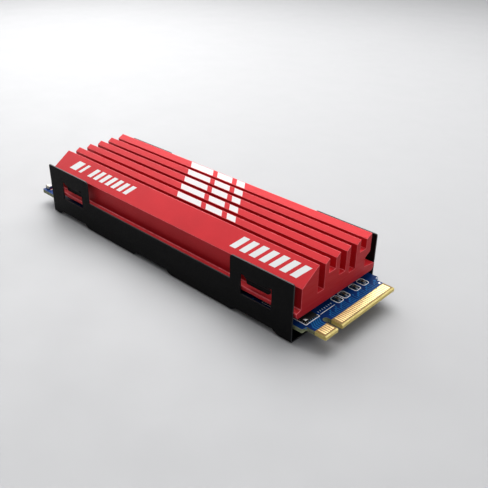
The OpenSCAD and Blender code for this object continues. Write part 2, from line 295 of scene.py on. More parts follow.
class Shell:
    """Surfaces of one piece, gathered in millimetres before they become one mesh."""

    def __init__(self):
        self.points, self.faces, self.finish, self.edge, self.smooth = [], [], [], [], []
        self.count = 0

    def add(self, points, faces, edge=0.0, finish=0, smooth=False):
        """Adds one surface. edge, finish and smooth are one value, or one for each face."""
        self.points.append(np.asarray(points, float).reshape(-1, 3))
        self.faces += [[corner + self.count for corner in face] for face in faces]
        for store, value in ((self.edge, edge), (self.finish, finish), (self.smooth, smooth)):
            store.append(np.broadcast_to(np.asarray(value, float), len(faces)))
        self.count += len(self.points[-1])
        return self

    def block(self, low, high, corner, edge, steps=3, finish=0, smooth=True):
        """Adds a slab whose rounded edges are marked, and shaded smooth unless told otherwise."""
        points, faces, mark = slab(low, high, corner, edge, steps)
        return self.add(points, faces, mark, finish, mark > 0 if smooth else False)

    def make(self, name, finishes, slot, stands_for=()):
        """Makes the mesh object, lets it ride on the drive and hides the CAD nodes that it stands for."""
        mesh = bpy.data.meshes.new(name)
        mesh.from_pydata((np.concatenate(self.points) * MM).tolist(), [], self.faces)
        mesh.polygons.foreach_set("material_index", np.concatenate(self.finish).astype(np.int32))
        mesh.polygons.foreach_set("use_smooth", np.concatenate(self.smooth).astype(bool))
        mesh.attributes.new("edge", "FLOAT", "FACE").data.foreach_set("value", np.concatenate(self.edge))
        for finish in finishes:
            mesh.materials.append(finish)
        mesh.update()
        piece = bpy.data.objects.new(name, mesh)
        bpy.context.scene.collection.objects.link(piece)
        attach(piece, "root")
        if stands_for:
            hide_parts(*stands_for)
        return piece


def soften(piece, width, angle):
    """Rounds a piece's sharp edges, in millimetres and degrees, with a Bevel modifier."""
    bevel = piece.modifiers.new("Eased edges", "BEVEL")
    bevel.width = width * MM
    bevel.segments = 2
    bevel.limit_method = "ANGLE"
    bevel.angle_limit = math.radians(angle)
    bevel.use_clamp_overlap = True
    return piece


# ---- shader groups

def add(tree, kind, inputs=None, **settings):
    """Adds a node. settings are its own properties; inputs are values, or sockets to link from."""
    made = tree.nodes.new(kind)
    for key, value in settings.items():
        setattr(made, key, value)
    for key, value in (inputs or {}).items():
        if isinstance(value, bpy.types.NodeSocket):
            tree.links.new(value, made.inputs[key])
        else:
            made.inputs[key].default_value = value
    return made


def shared_group(name, defaults, outputs, nodes):
    """The shader node group of that name, made on its first use.

    Its inputs are a Vector and one socket for each default, whose type follows from the default's length.
    nodes(tree, input sockets) returns the sockets that feed the outputs, in order.
    """
    if name in bpy.data.node_groups:
        return bpy.data.node_groups[name]
    tree = bpy.data.node_groups.new(name, "ShaderNodeTree")
    tree.interface.new_socket("Vector", in_out="INPUT", socket_type="NodeSocketVector")
    for label, default in defaults.items():
        kind = {3: "Vector", 4: "Color"}[len(default)] if isinstance(default, tuple) else "Float"
        socket = tree.interface.new_socket(label, in_out="INPUT", socket_type="NodeSocket" + kind)
        socket.default_value = default
    for label in outputs:
        kind = "Color" if label == "Colour" else "Float"
        tree.interface.new_socket(label, in_out="OUTPUT", socket_type="NodeSocket" + kind)
    given, result = tree.nodes.new("NodeGroupInput").outputs, tree.nodes.new("NodeGroupOutput").inputs
    for label, socket in zip(outputs, nodes(tree, given)):
        tree.links.new(socket, result[label])
    return tree


def noise(tree, vector, scale, detail, roughness=0.5):
    """Noise between 0 and 1."""
    return add(tree, "ShaderNodeTexNoise", {
        "Vector": vector, "Scale": scale, "Detail": detail, "Roughness": roughness}).outputs["Fac"]


def ranged(tree, value, start, stop, low=0.0, high=1.0):
    """A value carried from the range start..stop to the range low..high."""
    return add(tree, "ShaderNodeMapRange", {
        "Value": value, "From Min": start, "From Max": stop, "To Min": low, "To Max": high}).outputs["Result"]


def stretched(tree, vector, stretch):
    """A vector, each axis scaled on its own."""
    return add(tree, "ShaderNodeVectorMath", {0: vector, 1: stretch}, operation="MULTIPLY").outputs[0]


def maths(tree, operation, a, b):
    """Two values joined by an operation."""
    return add(tree, "ShaderNodeMath", {0: a, 1: b}, operation=operation).outputs[0]


def blended(tree, factor, first, second):
    """A colour between two others."""
    return add(tree, "ShaderNodeMix", {0: factor, 6: first, 7: second}, data_type="RGBA").outputs[2]


def grain_group():
    """Fine grain: stretched noise, given as a value between Low and High and as a plain height."""
    def nodes(tree, given):
        pulled = stretched(tree, given["Vector"], given["Stretch"])
        height = noise(tree, pulled, given["Scale"], given["Detail"], 0.6)
        return ranged(tree, height, 0.3, 0.7, given["Low"], given["High"]), height
    return shared_group("Fine grain", {"Stretch": (1, 1, 1), "Scale": 1000.0, "Detail": 3.0, "Low": 0.0,
                                       "High": 1.0}, ("Value", "Height"), nodes)


def mottle_group():
    """Mottle: a colour whose brightness drifts by Spread over patches."""
    def nodes(tree, given):
        patches = noise(tree, given["Vector"], given["Scale"], 4.0)
        factor = ranged(tree, patches, 0.25, 0.75, maths(tree, "SUBTRACT", 1.0, given["Spread"]),
                        maths(tree, "ADD", 1.0, given["Spread"]))
        scaled = add(tree, "ShaderNodeVectorMath", {0: given["Colour"], "Scale": factor}, operation="SCALE")
        return scaled.outputs["Vector"],
    return shared_group("Mottle", {"Colour": (0.5, 0.5, 0.5, 1), "Scale": 200.0, "Spread": 0.1}, ("Colour",),
                        nodes)


def edge_wear_and_highlight_group():
    """Edge wear and highlight: turns a colour towards a lighter one on the faces marked as edges, broken up
    by noise. On the heat sink this is a painted highlight along every rounded edge, with some rubbed-thin
    dye.
    """
    def nodes(tree, given):
        mark = add(tree, "ShaderNodeAttribute", attribute_name="edge").outputs["Fac"]
        broken = ranged(tree, noise(tree, given["Vector"], 900.0, 4.0), 0.35, 0.65, 0.45, 1.0)
        mask = maths(tree, "MULTIPLY", maths(tree, "MULTIPLY", mark, broken), given["Amount"])
        return blended(tree, mask, given["Colour"], given["Worn Colour"]), mask
    return shared_group("Worn edge", {"Colour": (0.5, 0.5, 0.5, 1), "Worn Colour": (1, 1, 1, 1),
                                      "Amount": 0.5}, ("Colour", "Mask"), nodes)


def fibre_group():
    """Layered fibre: glass cloth and resin seen on a cut board, as a colour between two and a height."""
    def nodes(tree, given):
        flattened = stretched(tree, given["Vector"], (0.08, 0.08, 1.0))
        layers = noise(tree, flattened, given["Layers"], 2.0, 0.7)
        return blended(tree, ranged(tree, layers, 0.38, 0.62), given["Cloth"], given["Resin"]), layers
    return shared_group("Layered fibre", {"Cloth": (0.5, 0.5, 0.4, 1), "Resin": (0.3, 0.25, 0.1, 1),
                                          "Layers": 9000.0}, ("Colour", "Height"), nodes)


# ---- finishes

SOCKET_NAMES = {"specular_ior_level": "Specular IOR Level"}


class Finish:
    """One material under construction: its Principled shader, and chains of nodes that feed it."""

    def __init__(self, name, **constants):
        self.material = bpy.data.materials.new(name)
        self.material.use_nodes = True
        self.tree = self.material.node_tree
        self.tree.nodes.clear()
        self.shader = add(self.tree, "ShaderNodeBsdfPrincipled", {
            SOCKET_NAMES.get(key, key.replace("_", " ").title()): value for key, value in constants.items()})
        add(self.tree, "ShaderNodeOutputMaterial", {"Surface": self.shader.outputs["BSDF"]})
        self.place = add(self.tree, "ShaderNodeTexCoord").outputs["Object"]

    def group(self, group, **inputs):
        """Places a shared group, fed with object coordinates. Returns its outputs."""
        placed = add(self.tree, "ShaderNodeGroup", {"Vector": self.place}, node_tree=group)
        for key, value in inputs.items():
            label = key.replace("_", " ").title()
            if isinstance(value, bpy.types.NodeSocket):
                self.tree.links.new(value, placed.inputs[label])
            else:
                placed.inputs[label].default_value = value
        return placed.outputs

    def colour(self, socket):
        """Feeds the base colour."""
        self.tree.links.new(socket, self.shader.inputs["Base Color"])
        return self

    def rough(self, low, high, scale, stretch=(1, 1, 1)):
        """Lets the roughness vary between low and high with a grain, and returns the grain's height."""
        grain = self.group(grain_group(), stretch=stretch, scale=scale, low=low, high=high)
        self.tree.links.new(grain["Value"], self.shader.inputs["Roughness"])
        return grain["Height"]

    def bump(self, height, depth):
        """Raises the surface by height, at most depth millimetres."""
        bump = add(self.tree, "ShaderNodeBump", {"Height": height, "Distance": depth * MM, "Strength": 1.0})
        self.tree.links.new(bump.outputs["Normal"], self.shader.inputs["Normal"])
        return self


def rgba(colour):
    """A colour with full opacity."""
    return (*colour[:3], 1.0)


def grained(name, colour, low, high, scale, depth, spread, patch, stretch=(1, 1, 1), worn=None, amount=0.7,
            **constants):
    """Finish with a colour that drifts by spread over patches, roughness between low and high and a bump of a
    depth in millimetres from one grain, and, where an edge colour is given, lighter rounded edges: a painted
    highlight with some rubbed-thin dye."""
    if name in bpy.data.materials:
        return bpy.data.materials[name]
    made = Finish(name, **constants)
    tone = made.group(mottle_group(), colour=rgba(colour), scale=patch, spread=spread)["Colour"]
    if worn is not None:
        tone = made.group(edge_wear_and_highlight_group(), colour=tone, worn_colour=rgba(worn), amount=amount)["Colour"]
    made.colour(tone)
    height = made.rough(low, high, scale, stretch)
    return made.bump(height, depth).material


def anodised(settings):
    """Dyed, blasted aluminium: fine even grain on the extruded faces, saw lines on the cut ends, and a
    painted highlight, with some thinner dye, along the rounded edges.
    """
    shared = dict(worn=settings.worn_colour, metallic=0.25, specular_ior_level=0.2)
    return [grained("Anodised red", settings.colour, 0.38, 0.54, 5200, 0.0025, 0.075, 160,
                    stretch=(0.35, 1, 1), **shared),
            grained("Anodised saw cut", settings.colour, 0.40, 0.56, 1500, 0.004, 0.05, 300,
                    stretch=(1, 0.12, 1.6), **shared)]


def powder_coat(settings):
    """Black powder coat with a fine orange-peel surface, and a lighter, glossier film along a sheared edge,
    which is a painted highlight.
    """
    return [grained("Black powder coat", settings.colour, 0.52, 0.68, 3800, 0.004, 0.12, 150,
                    specular_ior_level=0.07),
            grained("Sheared edge", settings.cut_edge_highlight_colour, 0.36, 0.52, 5000, 0.003, 0.30, 900,
                    specular_ior_level=0.25)]


def lacquer(name, colour):
    """Glossy blue lacquer over the board, or over its copper."""
    return grained(name, colour, 0.32, 0.48, 2500, 0.004, 0.14, 500, specular_ior_level=0.07)


def cut_board(name, cloth, resin, layers=9000.0):
    """Cut or bare board: layers of glass cloth in resin."""
    if name in bpy.data.materials:
        return bpy.data.materials[name]
    made = Finish(name, roughness=0.55)
    seen = made.group(fibre_group(), cloth=rgba(cloth), resin=rgba(resin), layers=layers)
    return made.colour(seen["Colour"]).bump(seen["Height"], 0.006).material


# Finishes that no setting changes: colour, roughness from and to, scale of the grain and its depth in
# millimetres, drift of the colour and its scale, and what else the finish asks for
MATT = {"specular_ior_level": 0.25}
PLAIN = {
    "Bare lacquer": ((0.0015, 0.0045, 0.0130), 0.30, 0.45, 2500, 0.004, 0.14, 500,
                     {"specular_ior_level": 0.15}),
    "Gold plating": ((0.98, 0.78, 0.38), 0.28, 0.42, 3000, 0.002, 0.04, 700, {"metallic": 0.9}),
    "Board print": ((0.92, 0.93, 0.92), 0.50, 0.65, 5000, 0.003, 0.10, 2500, {}),
    "Chip moulding": ((0.010, 0.010, 0.0108), 0.46, 0.62, 4500, 0.005, 0.15, 600, MATT),
    "Package carrier": ((0.02, 0.045, 0.03), 0.40, 0.50, 3500, 0.003, 0.10, 800, {}),
    "Laser spot": ((0.085, 0.085, 0.088), 0.55, 0.70, 9000, 0.003, 0.12, 1500, {}),
    "Nickel lid": ((0.60, 0.585, 0.56), 0.26, 0.40, 2600, 0.002, 0.05, 400,
                   {"stretch": (0.1, 1, 1), "metallic": 1.0}),
    "Tinned metal": ((0.34, 0.34, 0.335), 0.26, 0.44, 4000, 0.006, 0.08, 1200, {"metallic": 1.0}),
    "Capacitor ceramic": ((0.055, 0.037, 0.026), 0.45, 0.60, 6000, 0.005, 0.14, 1600, {}),
    "Pale ceramic": ((0.69, 0.64, 0.50), 0.40, 0.55, 6000, 0.004, 0.06, 1500, {}),
    "Inductor core": ((0.045, 0.045, 0.048), 0.50, 0.70, 7000, 0.010, 0.25, 2500, {}),
    "Resistor glaze": ((0.012, 0.012, 0.014), 0.12, 0.25, 3000, 0.003, 0.10, 1500, {}),
    "Thermal pad silicone": ((0.30, 0.40, 0.47), 0.60, 0.80, 2600, 0.02, 0.10, 500, {}),
}


def plain(name):
    """A finish from the list above."""
    *values, more = PLAIN[name]
    return grained(name, *values, **more)


# ---- heat sink

# Section of the extrusion in Y and Z: underside and top; upright wall, and the broad sloping face above it;
# near face of the first thin fin, number of fins, and far face of the last; heights of the slots' floors
BASE_Z, TOP_Z = 4.75, 12.9
WALL_Y, BROW_Z, RIDGE_Y = -10.15, 10.1, -6.0
FIRST_FIN_Y, FIN_COUNT, LAST_FIN_Y = -4.3, 5, 8.9
SLOT_FLOORS = (7.45, 10.1, 8.4, 7.5, 10.3)
NEAR_LIP = [(-10.9, BASE_Z), (-11.3, 5.3), (-11.3, 5.9), (WALL_Y, 6.18)]
FAR_LIP = [(10.2, BASE_Z), (10.7, 5.3), (10.7, 6.16), (7.5, 6.6)]
FAR_NOTCH = [(7.5, 8.45), (LAST_FIN_Y, 9.3)]
FIN_PITCH, FIN_T, FIN_DROP = 2.94, 1.12, 0.7
INNER_R, LIP_R = 0.09, 0.18              # radii in the bottom corners of the slots and along the near lip


def fin_edges(i):
    """Near and far face of thin fin i."""
    near = FIRST_FIN_Y + i * FIN_PITCH
    return near, LAST_FIN_Y if i == FIN_COUNT - 1 else near + FIN_T


def sink_section(edge_radius):
    """Corners and radii of the extrusion's outline, anticlockwise from the near lip's lower edge."""
    corners = [(NEAR_LIP[0], edge_radius)] + [(at, edge_radius) for at in FAR_LIP[:3]]
    corners += [(FAR_LIP[3], INNER_R), (FAR_NOTCH[0], INNER_R), (FAR_NOTCH[1], edge_radius)]
    for i in reversed(range(FIN_COUNT)):
        near, far = fin_edges(i)
        slot_start = fin_edges(i - 1)[1] if i else RIDGE_Y
        corners += [((far, TOP_Z), edge_radius), ((near, TOP_Z - FIN_DROP), edge_radius),
                    ((near, SLOT_FLOORS[i]), INNER_R), ((slot_start, SLOT_FLOORS[i]), INNER_R)]
    corners += [((RIDGE_Y, TOP_Z), edge_radius), ((WALL_Y, BROW_Z), edge_radius * 1.5)]
    corners += [(NEAR_LIP[3], LIP_R), (NEAR_LIP[2], LIP_R), (NEAR_LIP[1], edge_radius)]
    return zip(*corners)


class DRIVE_OT_heat_sink(Operator):
    """Extruded red heat sink: its fin section with rounded corners, carried along the card"""

    bl_idname = "drive.heat_sink"
    bl_label = "Heat sink"

    def execute(self, context):
        settings = context.scene.drive_sink
        low, high = box_mm("heat_sink")
        corners, radii = sink_section(settings.edge_radius / MM)
        points, faces, mark = extruded_along_x(corners, radii, low[0], high[0], settings.end_radius / MM)
        finish = np.zeros(len(faces))
        finish[-2:] = 1
        # Every arc's faces are marked, and the finish paints them lighter: a painted highlight along the
        # rounded edges and in the hollow corners.
        Shell().add(points, faces, mark, finish, mark > 0).make(
            "finned_heat_sink", anodised(settings), "red_anodised", ["heat_sink"])
        return {"FINISHED"}


# Bars on the broad face: first edge along the card, width, and shares of the face's height from and to; and
# rows of equal bars, whose fill is a bar's share of the pitch. The slant is the shift along the card for each
# millimetre up the face, from the share BAR_FOOT.
LEFT_MARK = [(-30.6, 2.2, 0.28, 0.74), (-27.4, 0.9, 0.28, 0.74)]
LEFT_BARS = dict(start=-24.2, stop=-10.3, count=7, low=0.28, high=0.74, fill=0.60)
RIGHT_BARS = dict(start=17.9, stop=33.6, count=7, low=0.25, high=0.78, fill=0.62)
BAR_SLANT, BAR_FOOT = 0.55, 0.26
# Bands over the fins: first edge at the first fin, and width; shift for each millimetre of Y; and the painted
# shares of a fin's top, from and to
BANDS = [(-1.0, 6.6), (6.9, 4.2), (12.4, 2.2)]
BAND_SLANT, BAND_SHARES = -0.75, (0.07, 0.90)
PAINT_T = 0.012                          # half of it lies in the metal


class DRIVE_OT_painted_bars(Operator):
    """Plain slanted bars printed on the broad face, and broad bands printed over the fins"""

    bl_idname = "drive.painted_bars"
    bl_label = "Painted bars"

    def execute(self, context):
        shell, sink = Shell(), context.scene.drive_sink
        rise = np.array([RIDGE_Y - WALL_Y, TOP_Z - BROW_Z])
        lift = np.array([0, -rise[1], rise[0]]) / np.hypot(*rise) * PAINT_T / 2
        bars = list(LEFT_MARK)
        for row in (LEFT_BARS, RIGHT_BARS):
            pitch = (row["stop"] - row["start"]) / row["count"]
            bars += [(row["start"] + i * pitch, pitch * row["fill"], row["low"], row["high"])
                     for i in range(row["count"])]
        for x, width, low, high in bars:
            share = np.array([low, low, high, high])
            along = x + np.array([0, width, width, 0]) + BAR_SLANT * (share - BAR_FOOT) * np.hypot(*rise)
            face = np.stack([along, WALL_Y + share * rise[0], BROW_Z + share * rise[1]], -1)
            shell.add(*plate_on_plane(face - lift, PAINT_T))
        share = np.repeat(BAND_SHARES, 2)
        for near, far in (fin_edges(i) for i in range(FIN_COUNT)):
            y = near + share * (far - near)
            z = TOP_Z - FIN_DROP * (1 - share)
            for x, width in BANDS:
                along = x + np.array([0, width, width, 0]) + BAND_SLANT * (y - FIRST_FIN_Y)
                shell.add(*plate_on_plane(np.stack([along, y, z - PAINT_T / 2], -1), PAINT_T))
        white = grained("White paint", sink.paint_colour, 0.42, 0.58, 6000, 0.002, 0.03, 500)
        shell.make("painted_bars", [white], "white_print")
        return {"FINISHED"}


# ---- bracket

# Tops of the low walls and the ears; the ears' inner ends, and the radii of their corners; the windows; the
# tabs' gaps, length, lowest height of their cells, corner radius and rows; and the cut-outs along the folds
WALL_TOP, EAR_TOP = 6.55, 11.35
EAR_INNER, EAR_CUT, EAR_ROUND = 20.5, 0.6, 0.3
WINDOW_X, WINDOW_Z = (22.9, 29.9), (4.5, 8.5)
TAB_GAP, TAB_LENGTH, TAB_CELL_Z, TAB_ROUND = 0.85, 2.0, 4.9, 0.5
TAB_SHARES = np.array([0, 0.2, 0.4, 0.6, 0.75, 0.8125, 0.875, 0.9375, 1])
TAB_WAVE, TAB_STEPS = 1.3, 64            # half waves of the lean along a tab, and steps of the running sums
RELIEFS = ((-31.1, -22.7), (-5.3, 3.5), (21.9, 30.3))
RELIEF_H, RELIEF_SLOPE, RELIEF_Y, RELIEF_REACH = 0.95, 1.5, 10.4, 2.5
SHEET_T = 0.3


def bracket_section(bend_radius, half_width):
    """Outer section of half the folded sheet from the ear's top down and in to the middle, as (y, z) rows."""
    upright = np.concatenate([EAR_TOP - np.array([0, 0.1, 0.2, 0.3, 0.45, EAR_CUT]), [
        9.6, 8.5, 8.1, 7.7, 7.3, 6.9, WALL_TOP, 6.0, 5.45, TAB_CELL_Z, WINDOW_Z[0], 2.6, RELIEF_H]])
    wall = np.stack([np.full(len(upright), -half_width), upright], -1)
    t = np.pi * (1 + np.linspace(0, 0.5, 7))
    bend = bend_radius * np.stack([1 + np.cos(t), 1 + np.sin(t)], -1) - [half_width, 0]
    plate = np.array([[-RELIEF_Y, 0], [-5, 0], [0, 0]])
    return np.concatenate([wall, bend, plate])


def rounded_corner(a, b):
    """Moves shares a and b, which grow from 0 to 1 towards a square corner, onto a quarter circle: a becomes
    a * sqrt(1 - b^2 / 2) and b becomes b * sqrt(1 - a^2 / 2)."""
    inside = (a > 0) & (b > 0)
    p, q = np.clip(a, 0, 1), np.clip(b, 0, 1)
    return np.where(inside, p * np.sqrt(1 - q ** 2 / 2), a), np.where(inside, q * np.sqrt(1 - p ** 2 / 2), b)


def tab_surface(lean, across):
    """Sprung tab on a grid of places across it and lengths s along it, as (x, inward, down).

    Its angle from the wall swells and then flares back, lean * sin(1.3 * pi * s / length). Inward and down
    are the running sums of the angle's sine and cosine. Its two free corners are rounded.
    """
    x, s = np.meshgrid(across, TAB_SHARES * TAB_LENGTH)
    middle = (across[0] + across[-1]) / 2
    half = across[-1] - middle
    a, b = rounded_corner(1 - (half - np.abs(x - middle)) / TAB_ROUND, 1 - (TAB_LENGTH - s) / TAB_ROUND)
    x = middle + np.sign(x - middle) * (half - (1 - a) * TAB_ROUND)
    s = TAB_LENGTH - (1 - b) * TAB_ROUND
    share = np.linspace(0, 1, TAB_STEPS + 1)
    lean = lean * np.sin(TAB_WAVE * np.pi * (share[1:] + share[:-1]) / 2)
    inward, down = (np.concatenate([[0], np.cumsum(part)]) * TAB_LENGTH / TAB_STEPS
                    for part in (np.sin(lean), np.cos(lean)))
    return x, np.interp(s, share * TAB_LENGTH, inward), np.interp(s, share * TAB_LENGTH, down)


def bracket_surface(settings, x_end, half_width):
    """Outer face of the folded sheet on a grid of columns x_c and section rows (y_r, z_r).

    Cells over the open side, the windows and the cut-outs are left out, and the ears' corners are rounded.
    Below the top of a cut-out its end columns move out by slope * (1 - z / height), and the next columns by a
    share of that which falls to nothing at a set reach. In the windows the rows follow the tabs.
    """
    outer = x_end - np.array([0.3, 0.2, 0.1, 0])
    inner = EAR_INNER + np.array([0, 0.15, 0.3, 0.45, 0.6])
    corner = np.linspace(0, TAB_ROUND, 5)
    tab_x0, tab_x1 = WINDOW_X[0] + TAB_GAP, WINDOW_X[1] - TAB_GAP
    tab = np.concatenate([tab_x0 + corner, [(tab_x0 + tab_x1) / 2], tab_x1 - corner[::-1]])
    half = np.concatenate([[12], inner, [WINDOW_X[0]], tab, [WINDOW_X[1]], outer])
    columns = np.sort(np.concatenate([-half, np.ravel(RELIEFS), half]))
    near = bracket_section(settings.bend_radius / MM, half_width)
    rows = np.concatenate([near, near[-2::-1] * [-1, 1]])
    x = np.broadcast_to(columns[None], (len(rows), len(columns))).copy()
    y = np.broadcast_to(rows[:, :1], x.shape).copy()
    z = np.broadcast_to(rows[:, 1:], x.shape).copy()

    mid_x = ((columns[1:] + columns[:-1]) / 2)[None]
    mid_y, mid_z = ((rows[1:] + rows[:-1]) / 2).T[:, :, None]
    from_middle = np.abs(mid_x)
    in_window = (from_middle > WINDOW_X[0]) & (from_middle < WINDOW_X[1]) & (
        mid_z > WINDOW_Z[0]) & (mid_z < WINDOW_Z[1])
    in_tab = (from_middle > tab_x0) & (from_middle < tab_x1) & (mid_z > TAB_CELL_Z)
    in_relief = np.zeros_like(in_window)
    for start, stop in RELIEFS:
        in_relief |= (mid_x > start) & (mid_x < stop) & (mid_z < RELIEF_H) & (np.abs(mid_y) > RELIEF_Y)
    keep = ~((from_middle < EAR_INNER) & (mid_z > WALL_TOP)) & ~(in_window & ~in_tab) & ~in_relief

    tab_x, inward, down = tab_surface(settings.tab_lean, tab)
    first = int(np.argmin(np.abs(near[:, 1] - WINDOW_Z[1])))
    at = np.arange(first, first + len(TAB_SHARES))
    for wall, wall_rows in ((-1, at), (1, len(rows) - 1 - at)):
        for side in (-1, 1):
            place = np.ix_(wall_rows, np.nonzero(np.isin((columns * side).round(6), tab.round(6)))[0])
            x[place] = side * tab_x[:, ::side]
            y[place] = wall * (half_width - inward[:, ::side])
            z[place] = WINDOW_Z[1] - down[:, ::side]

    for edge, size, sign in ((EAR_INNER, EAR_CUT, 1), (x_end, EAR_ROUND, -1)):
        a, b = rounded_corner(1 - sign * (np.abs(x) - edge) / size, 1 - (EAR_TOP - z) / size)
        x, z = np.sign(x) * (edge + sign * (1 - a) * size), EAR_TOP - (1 - b) * size

    shift = RELIEF_SLOPE * (1 - np.clip(z / RELIEF_H, 0, 1)) * (np.abs(y) >= RELIEF_Y - 1e-9)
    for start, stop in RELIEFS:
        before, after = (start - columns) / RELIEF_REACH, (columns - stop) / RELIEF_REACH
        x = x - shift * (1 - before) * ((before >= 0) & (before < 1)) + shift * (1 - after) * (
            (after >= 0) & (after < 1))

    at = np.arange(x.size).reshape(x.shape)
    cells = np.stack([at[:-1, :-1], at[1:, :-1], at[1:, 1:], at[:-1, 1:]], -1)[keep]
    used, cells = np.unique(cells, return_inverse=True)
    points = np.stack([x, y, z], -1).reshape(-1, 3)[used]
    return points, cells.reshape(-1, 4).tolist()


class DRIVE_OT_bracket(Operator):
    """Folded black bracket: ears with windows and sprung tabs, low walls, and cut-outs along the folds"""

    bl_idname = "drive.bracket"
    bl_label = "Retaining bracket"

    def execute(self, context):
        settings = context.scene.drive_bracket
        high = box_mm("retaining_bracket")[1]
        points, faces = bracket_surface(settings, high[0], high[1])
        piece = Shell().add(points, faces).make(
            "folded_bracket", powder_coat(settings), "black_steel", ["retaining_bracket"])
        sheet = piece.modifiers.new("Sheet", "SOLIDIFY")
        sheet.thickness = SHEET_T * MM
        sheet.offset = -1
        sheet.use_even_offset = True
        # The rims take the lighter second finish: a painted highlight along the sheared edges.
        sheet.material_offset_rim = 1
        soften(piece, 0.045, angle=60)
        return {"FINISHED"}


# ---- board

# The key slot's middle, width and depth; the tongue's length and half its width; radii of the screw notch,
# its ring, the board's corners and the tongue's inner corners; and the bevels at the tip
KEY_Y, KEY_W, KEY_DEPTH = -6.125, 1.2, 3.5
TONGUE_L, TONGUE_HALF = 4.0, 19.85 / 2
NOTCH_R, PAD_R, BOARD_CORNER_R, SHOULDER_R = 1.75, 2.75, 0.5, 0.25
BEVEL_L, BEVEL_H = 0.3, 0.12


def arc(centre, radius, start, stop, steps):
    """Points of a circular arc from one angle to another, in degrees."""
    t = np.radians(np.linspace(start, stop, steps + 1))
    return np.asarray(centre) + radius * np.stack([np.cos(t), np.sin(t)], -1)


def board_outline(low, high, bare):
    """Outline of the card, anticlockwise from above, and the first of the four points of each part of the
    tip: where the solder mask ends, the tip's two corners, and where the mask begins again."""
    tip, end, half = high[0], low[0], high[1]
    shoulder = tip - TONGUE_L
    mask_end = tip - bare
    key = tip - KEY_DEPTH + KEY_W / 2
    r, s = BOARD_CORNER_R, SHOULDER_R
    parts = [
        arc((end, 0), NOTCH_R, 0, -90, 12),
        arc((end + r, -half + r), r, 180, 270, 6),
        arc((shoulder - s, -half + s), s, 270, 360, 4),
        arc((shoulder + s, -TONGUE_HALF - s), s, 180, 90, 4),
        [(x, -TONGUE_HALF) for x in (mask_end, tip)] + [(x, KEY_Y - KEY_W / 2) for x in (tip, mask_end)],
        arc((key, KEY_Y), KEY_W / 2, 270, 90, 12),
        [(x, KEY_Y + KEY_W / 2) for x in (mask_end, tip)] + [(x, TONGUE_HALF) for x in (tip, mask_end)],
        arc((shoulder + s, TONGUE_HALF + s), s, 270, 180, 4),
        arc((shoulder - s, half - s), s, 0, 90, 4),
        arc((end + r, half - r), r, 90, 180, 6),
        arc((end, 0), NOTCH_R, 90, 0, 12)[:-1],
    ]
    first = sum(len(part) for part in parts[:4])
    second = first + 4 + len(parts[5])
    return np.concatenate([np.asarray(part, float) for part in parts]), first, second


class DRIVE_OT_board(Operator):
    """Blue circuit board: its outline carried through the thickness, with the tongue's bevels and bare end"""

    bl_idname = "drive.board"
    bl_label = "Circuit board"

    def execute(self, context):
        settings = context.scene.drive_board
        low, high = box_mm("circuit_board")
        outline, first, second = board_outline(low, high, settings.bare_length / MM)
        tip = high[0]
        rings = []
        for z in (low[2], low[2] + BEVEL_H, high[2] - BEVEL_H, high[2]):
            depth = min(z - low[2], high[2] - z)
            reach = tip - BEVEL_L * (1 - min(depth / BEVEL_H, 1))
            rings.append(np.insert(np.minimum(outline, [reach, np.inf]), 2, z, axis=1))
        points, faces = loft(rings)
        count = len(outline)
        top = (len(rings) - 1) * count
        sides = faces[:-2]
        bare = [list(range(start, start + 4)) for start in (first, second)]
        on_tongue = np.isin(np.arange(count), bare[0][:3] + bare[1][:3])
        finish = np.tile(np.where(on_tongue, 2, 1), len(rings) - 1).tolist()
        masked = [at for at in range(count) if at not in bare[0][1:3] + bare[1][1:3]]
        for face, kind in ((masked, 0), (bare[0], 3), (bare[1], 3)):
            sides += [[top + at for at in face], face[::-1]]
            finish += [kind, kind]
        materials = [lacquer("Solder mask", settings.mask_colour),
                     cut_board("Laminate edge", (0.26, 0.29, 0.17), (0.095, 0.105, 0.050)),
                     cut_board("Tongue edge", (0.70, 0.58, 0.20), (0.52, 0.40, 0.10)),
                     cut_board("Bare tongue", (0.24, 0.145, 0.020), (0.19, 0.11, 0.014), 2600.0)]
        piece = Shell().add(points, sides, 0, finish).make(
            "circuit_card", materials, "blue_board", ["circuit_board"])
        soften(piece, 0.03, angle=40)
        return {"FINISHED"}


# ---- copper, print and plating

# Thickness of print, lacquered copper, a signal via over it and the near-black lacquer patches, and how deep
# they all sit
PRINT_T, TRACE_T, RING_T, DARK_PATCH_T, SEAT = 0.015, 0.018, 0.004, 0.006, 0.01
VIA_R, VIA_COLUMNS, VIA_ROWS = 0.17, (33.0, 36.25), (10.25, 9.6, -10.35)
COUPLING_Y, LANE = (-0.1, 1.9, 5.1, 7.55), 0.22   # coupling capacitors' middles, half the spacing of a pair
PAIR_X, SIGNAL_X, SIGNAL_STAGGER = (37.35, 30.2), 36.75, 0.35     # bend and end of a pair; other ends
CAP_PRINT_X, CAP_PRINT_HALF, CAP_PRINT_CUT = (33.95, 35.85), 0.80, 0.28
SWITCH_PRINT = [(33.1, -9.65), (35.75, -9.65), (35.75, -6.1), (33.1, -6.1)]
ROW_PRINT_X, ROW_PRINT_Y, ROW_TICK_X = 35.6, (-5.6, -1.7), (34.75, 35.05)
OUTLINED = ("flash_package_1", "flash_package_2", "memory_package_top", "controller_package",
            "power_manager_chip", "boot_memory_chip")
OUTLINE_GAP = 0.22
EDGE_VIAS = dict(count=26, start=-38.2, pitch=2.85, y=10.3, stagger=0.25)


def cap_outline(y):
    """Eight-cornered outline round the coupling capacitor at y, anticlockwise from above."""
    (x0, x1), a, b, c = CAP_PRINT_X, y - CAP_PRINT_HALF, y + CAP_PRINT_HALF, CAP_PRINT_CUT
    return [(x0 + c, a), (x1 - c, a), (x1, a + c), (x1, b - c),
            (x1 - c, b), (x0 + c, b), (x0, b - c), (x0, a + c)]


